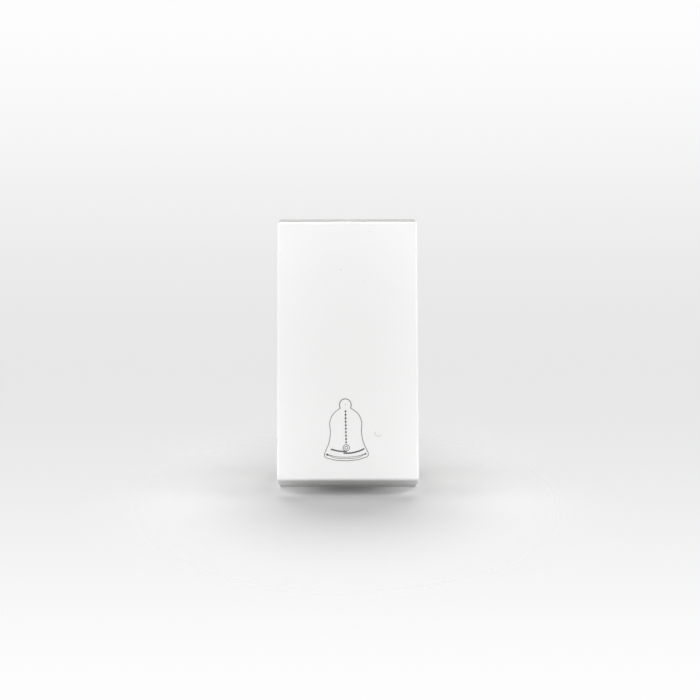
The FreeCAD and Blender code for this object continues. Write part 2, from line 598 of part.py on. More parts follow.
def clip_catch(body):
    """The windows in the sleeve's side walls that the rear base's clips snap into."""
    nose_end = "(Sizes.sleeve_depth - Sizes.clip_reach + Sizes.clip_head + Sizes.fit_gap)"
    front = f"({nose_end} - Sizes.clip_head - Sizes.catch_play)"
    far_x = f"({HALF_BODY_X} + Sizes.overcut)"
    for middle in ("Sizes.clip_spacing / 2", "-Sizes.clip_spacing / 2"):
        low = f"({middle} - Sizes.clip_width / 2 - Sizes.fit_gap)"
        high = f"({middle} + Sizes.clip_width / 2 + Sizes.fit_gap)"
        cut(body, "X", f"-{far_x}", far_x, box(front, nose_end, low, high))


def latches(body):
    """Spring tongues with ramped hooks at the top and bottom, which catch behind the mounting frame."""
    half = "Sizes.latch_width / 2"
    far = "(Sizes.latch_width / 2 + Sizes.latch_slot)"
    far_z = f"({HALF_BODY_Z} + Sizes.overcut)"
    slot_front = "Sizes.panel_thickness / 2"
    slot_back = "Sizes.sleeve_depth + Sizes.overcut"
    for left, right in ((half, far), (f"-{far}", f"-{half}")):
        cut(body, "Y", slot_front, slot_back, box(left, right, f"-{far_z}", far_z))
    catch = "Sizes.panel_thickness"
    wedge = outline(
        (catch, f"{HALF_BODY_Z} - Sizes.fit_gap"),
        (catch, f"{HALF_BODY_Z} + Sizes.latch_rise"),
        ("Sizes.sleeve_depth - Sizes.latch_tail", f"{HALF_BODY_Z} - Sizes.fit_gap"),
    )
    hook = add(body, "X", f"-{half}", half, wedge)
    mirror(body, [hook], "XY_Plane")


def rear_base():
    """The back of the housing: contact chamber, beam, terminal pockets, screw wells and wire entries."""
    body = new_piece("rear_base")
    add(body, "Y", "Sizes.sleeve_depth", BASE_BACK, centred(HALF_BODY_X, HALF_BODY_Z))
    tower_low = f"({HALF_BODY_Z} - Sizes.tower_height)"
    for low, high in ((tower_low, HALF_BODY_Z), (f"-{HALF_BODY_Z}", f"-{tower_low}")):
        block = box(f"-{HALF_BODY_X}", HALF_BODY_X, low, high)
        add(body, "Y", BASE_BACK, TOWER_BACK, block)
    dress(body, "Fillet", "Sizes.body_corner", is_body_corner)
    rear = number(TOWER_BACK)
    dress(body, "Chamfer", "Sizes.base_edge", lambda edge: abs(edge.CenterOfMass.y - rear) < NEAR)
    chamber = centred(CHAMBER_X, CHAMBER_Z)
    cut(body, "Y", "Sizes.sleeve_depth - Sizes.overcut", "Sizes.chamber_depth", chamber)
    beam = "(Sizes.beam_width / 2)"
    half_well = "(Sizes.well_length / 2)"
    well_floor = f"({BASE_BACK} - Sizes.base_wall)"
    for left, right in ((beam, CHAMBER_X), (f"-{CHAMBER_X}", f"-{beam}")):
        hollow = box(left, right, f"-{half_well}", half_well)
        cut(body, "Y", "Sizes.chamber_depth", well_floor, hollow)
    half_cage = "(Sizes.cage_width / 2 + Sizes.fit_gap)"
    pocket_low = f"({CAGE_BOTTOM} - Sizes.fit_gap)"
    head_well = "(Sizes.head_radius + Sizes.well_gap)"
    wire_out = "(Sizes.body_height / 2 + Sizes.overcut)"
    for sign in ("", "-"):
        near = pocket_low if sign == "" else f"-{CHAMBER_Z}"
        far = CHAMBER_Z if sign == "" else f"-{pocket_low}"
        pocket = box(f"-{half_cage}", half_cage, near, far)
        cut(body, "Y", "Sizes.chamber_depth", f"{CAGE_BACK} + Sizes.fit_gap", pocket)
        well = disc("0", f"{sign}{CAGE_MIDDLE}", head_well)
        cut(body, "Y", CAGE_BACK, f"{TOWER_BACK} + Sizes.overcut", well)
        inner = f"{CHAMBER_Z} - Sizes.overcut" if sign == "" else f"-{wire_out}"
        outer = wire_out if sign == "" else f"-{CHAMBER_Z} + Sizes.overcut"
        for side in ("", "-"):
            entry = disc(f"{side}Sizes.wire_spacing / 2", WIRE_MIDDLE, "Sizes.wire_radius")
            cut(body, "Z", inner, outer, entry)
    wire_mouths(body)
    clips(body)


def wire_mouths(body):
    """Chamfers that lead the wires into their entries."""
    end = number(HALF_BODY_Z)
    radius = number("Sizes.wire_radius")

    def mouth(edge):
        round_edge = edge.Curve.TypeId == "Part::GeomCircle" and abs(edge.Curve.Radius - radius) < NEAR
        return round_edge and abs(abs(edge.CenterOfMass.z) - end) < NEAR

    dress(body, "Chamfer", "Sizes.wire_lead", mouth)


def clips(body):
    """The four clips that hold the rear base in the front frame's sleeve."""
    outer = f"({SLEEVE_X} - Sizes.clip_play)"
    inner = f"({outer} - Sizes.clip_arm)"
    nose = f"({outer} + Sizes.clip_nose)"
    reach = "(Sizes.sleeve_depth - Sizes.clip_reach)"
    root = "(Sizes.sleeve_depth + Sizes.fit_gap)"
    for middle in ("Sizes.clip_spacing / 2", "-Sizes.clip_spacing / 2"):
        low = f"({middle} - Sizes.clip_width / 2)"
        high = f"({middle} + Sizes.clip_width / 2)"
        wall = box(inner, f"{CHAMBER_X} + Sizes.fit_gap", low, high)
        foot = add(body, "Y", root, "Sizes.chamber_depth", wall)
        arm = add(body, "Y", reach, root, box(inner, outer, low, high))
        head = add(body, "Y", reach, f"{reach} + Sizes.clip_head", box(inner, nose, low, high))
        mirror(body, [foot, arm, head], "YZ_Plane")


def contact_lever():
    """The copper lever that the plunger tips: a trough between two arms, with lugs to pivot on."""
    body = new_piece("contact_lever", ("0", LEVER_PIVOT, "0"), "Sizes.lever_swing / 2")
    half = "Sizes.strip / 2"
    raised = "(Sizes.strip / 2 + Sizes.lever_step)"
    sunk = "(Sizes.strip / 2 - Sizes.lever_step)"
    ramp = "(Sizes.lever_flat + Sizes.lever_ramp)"
    top = "(Sizes.contact_height + Sizes.lever_tip)"
    profile = outline(
        (f"-{raised}", top),
        (f"-{raised}", ramp),
        (f"-{half}", "Sizes.lever_flat"),
        (f"-{half}", "-Sizes.lever_flat"),
        (f"-{raised}", f"-{ramp}"),
        (f"-{raised}", "-Sizes.lever_bottom"),
        (sunk, "-Sizes.lever_bottom"),
        (sunk, f"-{ramp}"),
        (half, "-Sizes.lever_flat"),
        (half, "Sizes.lever_flat"),
        (sunk, ramp),
        (sunk, top),
    )
    add(body, "X", "-Sizes.lever_width / 2", "Sizes.lever_width / 2", profile)
    lug = "(Sizes.lever_width / 2 + Sizes.lug_reach)"
    add(body, "X", f"-{lug}", lug, centred(half, "Sizes.lug_width / 2"))
    ends = (number(top), -number("Sizes.lever_bottom"))

    def tip(edge):
        at_end = min(abs(edge.CenterOfMass.z - end) for end in ends) < NEAR
        return at_end and runs_along(edge, "y")

    dress(body, "Fillet", "Sizes.lever_corner", tip)
    hole = disc("0", "Sizes.contact_height", "Sizes.rivet_shank")
    cut(body, "Y", f"-{raised} - Sizes.overcut", f"{half} + Sizes.overcut", hole)


def contact_rivet(name, offset, tilt):
    """A silver-faced contact rivet through a strip. Its dome points along -Y from the strip's face."""
    body = new_piece(name, offset, tilt)
    dome = "Sizes.rivet_dome"
    edge = "Sizes.rivet_edge"
    rise = f"({dome} - {edge})"
    arch = f"((Sizes.rivet_radius ^ 2 + {rise} ^ 2) / (2 * {rise}))"
    close = "(Sizes.strip + Sizes.rivet_close)"
    profile = outline(
        (f"-{dome}", "0", arch, 1),
        (f"-{edge}", "Sizes.rivet_radius"),
        ("0", "Sizes.rivet_radius"),
        ("0", "Sizes.rivet_shank"),
        ("Sizes.strip", "Sizes.rivet_shank"),
        ("Sizes.strip", "Sizes.rivet_tail"),
        (close, "Sizes.rivet_tail"),
        (close, "0"),
    )
    turn(body, profile)
    return body


def contacts():
    """The moving contact on the lever and the fixed contact behind it."""
    back = "(Sizes.strip / 2 - Sizes.lever_step)"
    depth = f"({LEVER_PIVOT} + {back} * cos(Sizes.lever_swing / 2)"
    depth += " - Sizes.contact_height * sin(Sizes.lever_swing / 2))"
    height = f"({back} * sin(Sizes.lever_swing / 2) + Sizes.contact_height * cos(Sizes.lever_swing / 2))"
    contact_rivet("moving_contact", ("0", depth, height), "180 + Sizes.lever_swing / 2")
    contact_rivet("fixed_contact", ("0", ARM_FRONT, "Sizes.contact_height"), "0")


def contact_strip():
    """The brass strip from the upper terminal to the fixed contact, bent twice."""
    body = new_piece("contact_strip")
    riser = "(Sizes.contact_height + Sizes.riser_offset)"
    arm_back = f"({ARM_FRONT} + Sizes.strip)"
    tip = "(Sizes.contact_height - Sizes.arm_tip)"
    profile = outline(
        ("Sizes.chamber_depth", CAGE_TOP),
        (FOOT_FRONT, CAGE_TOP),
        (FOOT_FRONT, f"{riser} + Sizes.strip"),
        (ARM_FRONT, f"{riser} + Sizes.strip"),
        (ARM_FRONT, tip),
        (arm_back, tip),
        (arm_back, riser),
        ("Sizes.chamber_depth", riser),
    )
    add(body, "X", "-Sizes.arm_width / 2", "Sizes.arm_width / 2", profile)
    outer_bend = number(f"{riser} + Sizes.strip")
    inner_bend = number(riser)
    arm = number(ARM_FRONT)
    foot = number("Sizes.chamber_depth")

    def bend(edge):
        upper = lies_at(edge, y=arm, z=outer_bend)
        lower = lies_at(edge, y=foot, z=inner_bend)
        return runs_along(edge, "x") and (upper or lower)

    dress(body, "Fillet", "Sizes.bend_radius", bend)
    hole = disc("0", "Sizes.contact_height", "Sizes.rivet_shank")
    cut(body, "Y", f"{ARM_FRONT} - Sizes.overcut", f"{arm_back} + Sizes.overcut", hole)


def lever_bracket():
    """The brass bracket on the lower terminal: two notched cheeks that carry the lever's lugs."""
    body = new_piece("lever_bracket")
    half = "(Sizes.lever_width / 2 + Sizes.lug_reach - Sizes.cheek_inset)"
    inner = f"({half} - Sizes.strip)"
    foot = box(f"-{half}", half, f"-{CAGE_TOP}", "Sizes.bracket_top")
    add(body, "Y", FOOT_FRONT, "Sizes.chamber_depth", foot)
    notch = f"({LEVER_PIVOT} + Sizes.strip / 2 + Sizes.fit_gap)"
    horn = f"({notch} - Sizes.notch_rim)"
    lug = "(Sizes.lug_width / 2 + Sizes.fit_gap)"
    cheek = outline(
        (f"{FOOT_FRONT} + Sizes.strip / 2", "Sizes.bracket_top"),
        (horn, "(Sizes.bracket_top + Sizes.lug_width) / 2"),
        (horn, lug),
        (notch, lug),
        (notch, f"-{lug}"),
        (horn, f"-{lug}"),
        (horn, "-(Sizes.bracket_top + Sizes.lug_width) / 2"),
        (f"{FOOT_FRONT} + Sizes.strip / 2", "-Sizes.bracket_top"),
    )
    upright = add(body, "X", inner, half, cheek)
    mirror(body, [upright], "YZ_Plane")


def terminal(name, turned):
    """A brass terminal cage: a folded tube with a threaded wall behind."""
    body = new_piece(name, turned=turned)
    half = "Sizes.cage_width / 2"
    add(body, "Z", CAGE_BOTTOM, CAGE_TOP, box(f"-{half}", half, "Sizes.chamber_depth", CAGE_BACK))
    dress(body, "Fillet", "Sizes.cage_bend", lambda edge: runs_along(edge, "z"))
    inside = f"({half} - Sizes.cage_side)"
    passage = box(f"-{inside}", inside, "Sizes.chamber_depth + Sizes.cage_floor", NUT_FRONT)
    cut(body, "Z", f"{CAGE_BOTTOM} - Sizes.overcut", f"{CAGE_TOP} + Sizes.overcut", passage)
    thread = disc("0", CAGE_MIDDLE, "Sizes.screw_radius + Sizes.screw_gap")
    cut(body, "Y", f"{NUT_FRONT} - Sizes.fit_gap", f"{CAGE_BACK} + Sizes.overcut", thread)


def clamp_plate(name, turned):
    """The plate under a terminal screw, with a groove for each wire."""
    body = new_piece(name, turned=turned)
    half = "(Sizes.cage_width / 2 - Sizes.cage_side - Sizes.plate_play)"
    low = f"({CAGE_MIDDLE} - Sizes.plate_length / 2)"
    high = f"({CAGE_MIDDLE} + Sizes.plate_length / 2)"
    front = f"({PLATE_REAR} - Sizes.plate_thickness)"
    add(body, "Z", low, high, box(f"-{half}", half, front, PLATE_REAR))
    for side in ("", "-"):
        groove = disc(f"{side}Sizes.wire_spacing / 2", WIRE_MIDDLE, "Sizes.wire_radius + Sizes.fit_gap")
        cut(body, "Z", f"{low} - Sizes.overcut", f"{high} + Sizes.overcut", groove)


def terminal_screw(name, turned):
    """A terminal screw, backed off so that the wire entries are open, with a crossed slot."""
    body = new_piece(name, turned=turned)
    add(body, "Y", PLATE_REAR, SCREW_NECK, disc("0", CAGE_MIDDLE, "Sizes.screw_radius"))
    add(body, "Y", SCREW_NECK, SCREW_REAR, disc("0", CAGE_MIDDLE, "Sizes.head_radius"))
    front = number(PLATE_REAR)
    back = number(SCREW_REAR)
    dress(body, "Chamfer", "Sizes.screw_point", lambda edge: lies_at(edge, y=front))
    dress(body, "Fillet", "Sizes.head_edge", lambda edge: lies_at(edge, y=back))
    half_slot = "(Sizes.slot_width / 2)"
    reach = "(Sizes.head_radius + Sizes.overcut)"
    slot_floor = f"({SCREW_REAR} - Sizes.slot_depth)"
    long_slot = box(f"-{reach}", reach, f"{CAGE_MIDDLE} - {half_slot}", f"{CAGE_MIDDLE} + {half_slot}")
    cut(body, "Y", slot_floor, f"{SCREW_REAR} + Sizes.overcut", long_slot)
    cross_low = f"({CAGE_MIDDLE} - Sizes.cross_reach)"
    cross_high = f"({CAGE_MIDDLE} + Sizes.cross_reach)"
    cross = box(f"-{half_slot}", half_slot, cross_low, cross_high)
    cut(body, "Y", slot_floor, f"{SCREW_REAR} + Sizes.overcut", cross)


key_cover()
rocker_carrier()
plunger()
plunger_spring()
return_spring()
front_frame()
rear_base()
contact_lever()
contacts()
contact_strip()
lever_bracket()
for place, turned in (("upper", False), ("lower", True)):
    terminal(f"{place}_terminal", turned)
    clamp_plate(f"{place}_clamp_plate", turned)
    terminal_screw(f"{place}_terminal_screw", turned)

doc.recompute()
for item in doc.Objects:
    if "Invalid" in item.State or "Error" in item.State:
        raise RuntimeError(f"{item.Label} is {item.State}")
os.makedirs("parts", exist_ok=True)
for piece in pieces:
    if piece.Shape.isNull() or not piece.Shape.isValid() or len(piece.Shape.Solids) != 1:
        raise RuntimeError(f"{piece.Label} is not one good solid")
for piece in pieces:
    piece.Shape.exportStep(f"parts/{piece.Label}.step")
    print(piece.Label, round(piece.Shape.Volume, 2), len(piece.Shape.Faces))
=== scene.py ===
import json
import math

import bpy
import numpy as np
from mathutils import Matrix, Vector
from mathutils.bvhtree import BVHTree

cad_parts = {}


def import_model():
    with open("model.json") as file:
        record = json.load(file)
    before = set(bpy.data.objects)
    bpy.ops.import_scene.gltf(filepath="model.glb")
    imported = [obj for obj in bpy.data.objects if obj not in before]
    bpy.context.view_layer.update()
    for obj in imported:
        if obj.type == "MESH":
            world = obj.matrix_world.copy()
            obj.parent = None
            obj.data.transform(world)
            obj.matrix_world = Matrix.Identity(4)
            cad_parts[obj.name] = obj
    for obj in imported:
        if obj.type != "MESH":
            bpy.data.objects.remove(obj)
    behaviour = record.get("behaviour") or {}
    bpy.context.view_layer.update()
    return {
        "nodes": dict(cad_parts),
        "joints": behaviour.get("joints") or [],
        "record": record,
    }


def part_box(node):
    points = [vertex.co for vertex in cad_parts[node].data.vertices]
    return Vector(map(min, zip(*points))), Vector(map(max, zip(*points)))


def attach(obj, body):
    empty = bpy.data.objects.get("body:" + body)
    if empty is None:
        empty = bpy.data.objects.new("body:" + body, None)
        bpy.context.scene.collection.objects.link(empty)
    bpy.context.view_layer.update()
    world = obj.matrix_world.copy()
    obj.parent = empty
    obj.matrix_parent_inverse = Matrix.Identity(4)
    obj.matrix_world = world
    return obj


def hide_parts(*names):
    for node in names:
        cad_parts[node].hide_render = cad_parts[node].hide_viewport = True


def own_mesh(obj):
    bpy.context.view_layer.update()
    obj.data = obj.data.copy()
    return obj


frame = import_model()

MM = 0.001
NODES = frame["nodes"]


# Shader helpers.
def new_material(name, color, roughness, metallic=0.0):
    """A principled material with its plain values set on the shader, and that shader."""
    material = bpy.data.materials.new(name)
    material.use_nodes = True
    shader = material.node_tree.nodes["Principled BSDF"]
    shader.inputs["Base Color"].default_value = (*color, 1.0)
    shader.inputs["Roughness"].default_value = roughness
    shader.inputs["Metallic"].default_value = metallic
    return material, shader


def add_node(material, kind, **values):
    """A node with its inputs set by name."""
    node = material.node_tree.nodes.new(kind)
    for name, value in values.items():
        node.inputs[name.replace("_", " ")].default_value = value
    return node


def link(material, source, target):
    """Joins an output to an input."""
    material.node_tree.links.new(source, target)


def place(material, stretch=(1.0, 1.0, 1.0)):
    """Object coordinates, scaled along each axis."""
    coordinates = add_node(material, "ShaderNodeTexCoord")
    mapping = add_node(material, "ShaderNodeMapping", Scale=stretch)
    link(material, coordinates.outputs["Object"], mapping.inputs["Vector"])
    return mapping.outputs["Vector"]


def noise(material, vector, size, detail=3.0):
    """A noise whose grains are about as large as size."""
    node = add_node(material, "ShaderNodeTexNoise", Scale=1.0 / size, Detail=detail)
    link(material, vector, node.inputs["Vector"])
    return node.outputs["Fac"]


def spread(material, factor, low, high, start=0.3, end=0.7):
    """Maps a factor that goes from start to end onto values from low to high."""
    node = add_node(material, "ShaderNodeMapRange", From_Min=start, From_Max=end, To_Min=low, To_Max=high)
    link(material, factor, node.inputs["Value"])
    return node.outputs["Result"]


def two_tone(material, shader, factor, first, second, start=0.3, end=0.7):
    """Varies the base colour between two tones."""
    ramp = add_node(material, "ShaderNodeValToRGB")
    ramp.color_ramp.elements[0].position = start
    ramp.color_ramp.elements[1].position = end
    ramp.color_ramp.elements[0].color = (*first, 1.0)
    ramp.color_ramp.elements[1].color = (*second, 1.0)
    link(material, factor, ramp.inputs["Fac"])
    link(material, ramp.outputs["Color"], shader.inputs["Base Color"])


def grain(material, shader, height, depth):
    """Bumps a surface by a noise, to a depth in metres."""
    bump = add_node(material, "ShaderNodeBump", Distance=depth, Strength=1.0)
    link(material, height, bump.inputs["Height"])
    link(material, bump.outputs["Normal"], shader.inputs["Normal"])


# Materials, one for each kind of stuff. The key's colour holds painted light: painted shade darkest a
# little below its middle, and a painted highlight towards its edges; SPAN and REACH say how fast it rises
# across and up the key.
KEY_WHITE = (0.80, 0.80, 0.79)
KEY_MIDDLE_PAINTED_SHADE = (0.80, 0.80, 0.796)
KEY_EDGE_PAINTED_HIGHLIGHT = (0.93, 0.93, 0.93)
KEY_PAINTED_LIGHT_SPAN = 1.3
KEY_PAINTED_LIGHT_REACH = 1.36
KEY_PAINTED_SHADE_DROP = 7.5 * MM
KEY_ROUGHNESS = 0.34
KEY_ROUGHNESS_SWING = 0.04
KEY_PATCH = 3 * MM
KEY_GRAIN = 0.12 * MM
KEY_GRAIN_DEPTH = 0.0015 * MM
KEY_SPECULAR = 0.45
MOULD_PATCH = 6 * MM
MOULD_GLOSS_PATCH = 2 * MM
MOULD_ROUGHNESS_SWING = 0.06
NYLON_ROUGHNESS = 0.42
NYLON_FLOW = (1.0, 0.35, 0.35)
NYLON_PATCH = 1.6 * MM
NYLON_SCATTER = 0.15
NYLON_SCATTER_SCALE = 0.4 * MM
NYLON_GRAIN = 0.25 * MM
NYLON_GRAIN_DEPTH = 0.004 * MM
METAL_PATCH = 2.5 * MM
METAL_SMOOTHER = 0.08
METAL_ROUGHER = 0.1
METAL_STREAK_DEPTH = 0.002 * MM
INK_GREY = (0.1, 0.1, 0.1)
INK_DARK = (0.045, 0.044, 0.042)
INK_PALE = (0.10, 0.098, 0.094)
INK_ROUGHNESS = 0.55
INK_PATCH = 0.2 * MM
DUST_GREY = (0.68, 0.68, 0.67)
DUST_DARK = (0.6, 0.6, 0.59)
DUST_PALE = (0.74, 0.74, 0.73)
DUST_ROUGHNESS = 0.7
DUST_PATCH = 0.1 * MM
EVEN = (1.0, 1.0, 1.0)


def key_plastic_with_painted_light():
    """Satin white moulding of the key, with a painted highlight towards its edges and painted shade a
    little below its middle.
    """
    material, shader = new_material("key_white", KEY_WHITE, KEY_ROUGHNESS)
    vector = place(material)
    low, high = (Vector(corner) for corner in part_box("key_cover"))
    size = high - low
    middle = (high + low) / 2
    across = KEY_PAINTED_LIGHT_SPAN / size.x
    upward = KEY_PAINTED_LIGHT_REACH / size.z
    painted_shade_height = middle.z - KEY_PAINTED_SHADE_DROP
    # Painted light: the base colour goes from painted shade below the middle to a painted highlight at
    # the edges.
    scale = add_node(
        material, "ShaderNodeMapping", Scale=(across, 0.0, upward),
        Location=(-across * middle.x, 0.0, -upward * painted_shade_height),
    )
    link(material, vector, scale.inputs["Vector"])
    away = add_node(material, "ShaderNodeVectorMath")
    away.operation = "DOT_PRODUCT"
    link(material, scale.outputs["Vector"], away.inputs[0])
    link(material, scale.outputs["Vector"], away.inputs[1])
    two_tone(material, shader, away.outputs["Value"], KEY_MIDDLE_PAINTED_SHADE, KEY_EDGE_PAINTED_HIGHLIGHT, start=0.0, end=1.0)
    uneven = spread(
        material, noise(material, vector, KEY_PATCH),
        KEY_ROUGHNESS - KEY_ROUGHNESS_SWING, KEY_ROUGHNESS + KEY_ROUGHNESS_SWING,
    )
    link(material, uneven, shader.inputs["Roughness"])
    grain(material, shader, noise(material, vector, KEY_GRAIN, detail=2.0), KEY_GRAIN_DEPTH)
    shader.inputs["Specular IOR Level"].default_value = KEY_SPECULAR
    return material


def moulded_plastic(name, pale, dark, roughness, grain_size, depth):
    """Matt technical plastic with a fine spark-eroded grain."""
    material, shader = new_material(name, pale, roughness)
    vector = place(material)
    two_tone(material, shader, noise(material, vector, MOULD_PATCH, detail=5.0), dark, pale)
    uneven = spread(
        material, noise(material, vector, MOULD_GLOSS_PATCH),
        roughness - MOULD_ROUGHNESS_SWING, roughness + MOULD_ROUGHNESS_SWING,
    )
    link(material, uneven, shader.inputs["Roughness"])
    grain(material, shader, noise(material, vector, grain_size, detail=2.0), depth)
    return material


def nylon(name, pale, dark):
    """Natural nylon: waxy, a little translucent, with flow marks."""
    material, shader = new_material(name, pale, NYLON_ROUGHNESS)
    vector = place(material, NYLON_FLOW)
    two_tone(material, shader, noise(material, vector, NYLON_PATCH, detail=4.0), dark, pale)
    shader.inputs["Subsurface Weight"].default_value = NYLON_SCATTER
    shader.inputs["Subsurface Scale"].default_value = NYLON_SCATTER_SCALE
    grain(material, shader, noise(material, vector, NYLON_GRAIN), NYLON_GRAIN_DEPTH)
    return material


def metal(name, bright, dull, roughness, stretch, streak):
    """Metal with drawn or rolled streaks and a faint tarnish."""
    material, shader = new_material(name, bright, roughness, metallic=1.0)
    vector = place(material)
    along = place(material, stretch)
    two_tone(material, shader, noise(material, vector, METAL_PATCH, detail=6.0), dull, bright)
    uneven = spread(
        material, noise(material, along, streak),
        roughness - METAL_SMOOTHER, roughness + METAL_ROUGHER,
    )
    link(material, uneven, shader.inputs["Roughness"])
    grain(material, shader, noise(material, along, streak, detail=4.0), METAL_STREAK_DEPTH)
    return material


def ink():
    """Grey printing ink, slightly uneven."""
    material, shader = new_material("sign_ink", INK_GREY, INK_ROUGHNESS)
    two_tone(material, shader, noise(material, place(material), INK_PATCH), INK_DARK, INK_PALE)
    return material


def dust():
    """Pale grey dust and wear, slightly uneven."""
    material, shader = new_material("dust_grey", DUST_GREY, DUST_ROUGHNESS)
    two_tone(material, shader, noise(material, place(material), DUST_PATCH), DUST_DARK, DUST_PALE)
    return material


MATERIALS = {
    "key_white": key_plastic_with_painted_light(),
    "housing_white": moulded_plastic(
        "housing_white", pale=(0.56, 0.56, 0.55), dark=(0.535, 0.535, 0.525),
        roughness=0.5, grain_size=0.16 * MM, depth=0.002 * MM,
    ),
    "base_grey": moulded_plastic(
        "base_grey", pale=(0.58, 0.58, 0.565), dark=(0.55, 0.55, 0.535),
        roughness=0.55, grain_size=0.22 * MM, depth=0.006 * MM,
    ),
    "carrier_nylon": nylon("carrier_nylon", pale=(0.66, 0.66, 0.60), dark=(0.60, 0.60, 0.54)),
    "plunger_nylon": nylon("plunger_nylon", pale=(0.72, 0.69, 0.58), dark=(0.66, 0.62, 0.50)),
    "spring_steel": metal(
        "spring_steel", bright=(0.55, 0.56, 0.58), dull=(0.42, 0.43, 0.45),
        roughness=0.28, stretch=EVEN, streak=0.15 * MM,
    ),
    "contact_copper": metal(
        "contact_copper", bright=(0.78, 0.42, 0.28), dull=(0.58, 0.29, 0.18),
        roughness=0.3, stretch=(1.0, 1.0, 0.04), streak=0.08 * MM,
    ),
    "contact_silver": metal(
        "contact_silver", bright=(0.82, 0.81, 0.79), dull=(0.66, 0.64, 0.60),
        roughness=0.22, stretch=EVEN, streak=0.2 * MM,
    ),
    "strip_brass": metal(
        "strip_brass", bright=(0.74, 0.56, 0.26), dull=(0.58, 0.42, 0.18),
        roughness=0.32, stretch=(1.0, 1.0, 0.05), streak=0.1 * MM,
    ),
    "screw_steel": metal(
        "screw_steel", bright=(0.62, 0.63, 0.66), dull=(0.50, 0.51, 0.50),
        roughness=0.3, stretch=(1.0, 0.1, 1.0), streak=0.12 * MM,
    ),
}
for part in frame["record"]["subparts"]:
    mesh = NODES[part["node"]].data
    mesh.materials.clear()
    mesh.materials.append(MATERIALS[part["material_slot"]])


# Places on the key's face and on the back of the base, found by rays.
def tree_of(node):
    """A node's mesh, ready for rays."""
    mesh = NODES[node].data
    return BVHTree.FromPolygons([v.co for v in mesh.vertices], [p.vertices[:] for p in mesh.polygons])


PIVOT = Vector(next(j for j in frame["joints"] if j["name"] == "key_press")["pos_m"])
KEY_TREE = tree_of("key_cover")
BASE_TREE = tree_of("rear_base")
PROBE_RISE = 15 * MM
PROBE_START = 50 * MM


def front_of_key(height):
    """The point of the key's face straight in front of a height above the pivot."""
    return KEY_TREE.ray_cast(PIVOT + Vector((0, -PROBE_START, height)), Vector((0, 1, 0)))[0]


FACE_UP = (front_of_key(PROBE_RISE) - front_of_key(-PROBE_RISE)).normalized()
FACE_RIGHT = Vector((1, 0, 0))
FACE_IN = FACE_UP.cross(FACE_RIGHT)


def on_face(across, up, lift=0.0):
    """The point on the key's face at a place measured in millimetres from the pivot, lifted off it."""
    start = PIVOT + FACE_RIGHT * across * MM + FACE_UP * up * MM - FACE_IN * PROBE_START
    point, normal, _, _ = KEY_TREE.ray_cast(start, FACE_IN)
    return point + normal * lift


def on_back(across, up, lift=0.0):
    """The point on the back of the base at a place in millimetres from the pivot, lifted off it."""
    start = PIVOT + Vector((across * MM, PROBE_START, up * MM))
    point, normal, _, _ = BASE_TREE.ray_cast(start, Vector((0, -1, 0)))
    return point + normal * lift


# Mesh helpers. A section lists shares of a stroke's width or a dot's radius, and of the height.
STROKE_STEP = 0.08
STROKE_SECTION = ((0.5, 0.0), (0.36, 1.0), (-0.36, 1.0), (-0.5, 0.0))
DOT_SECTION = ((1.0, 0.0), (0.75, 1.0))
DOT_SIDES = 12
RING_SIDES = 28


def new_object(name, vertices, faces, material, smooth=True):
    """A mesh object with one material."""
    mesh = bpy.data.meshes.new(name)
    mesh.from_pydata([tuple(v) for v in vertices], [], faces)
    mesh.validate()
    mesh.materials.append(material)
    for polygon in mesh.polygons:
        polygon.use_smooth = smooth
    thing = bpy.data.objects.new(name, mesh)
    bpy.context.collection.objects.link(thing)
    return thing


def circle(middle, radius, sides):
    """Points round a circle."""
    turns = [2 * math.pi * i / sides for i in range(sides)]
    return [(middle[0] + radius * math.cos(a), middle[1] + radius * math.sin(a)) for a in turns]


def mirrored(points):
    """The same points on the other side of the middle line."""
    return [(-x, y) for x, y in points]


def smooth_through(points, step):
    """Points of a smooth curve that runs through the given ones, about one step apart."""
    spots = [np.array(p, float) for p in points]
    spots = [2 * spots[0] - spots[1]] + spots + [2 * spots[-1] - spots[-2]]
    out = []
    for a, b, c, d in zip(spots, spots[1:], spots[2:], spots[3:]):
        count = max(2, int(np.linalg.norm(c - b) / step))
        for t in np.linspace(0, 1, count, endpoint=False):
            square = 2 * a - 5 * b + 4 * c - d
            cube = 3 * b - a - 3 * c + d
            out.append(0.5 * (2 * b + (c - a) * t + square * t**2 + cube * t**3))
    out.append(spots[-2])
    return out


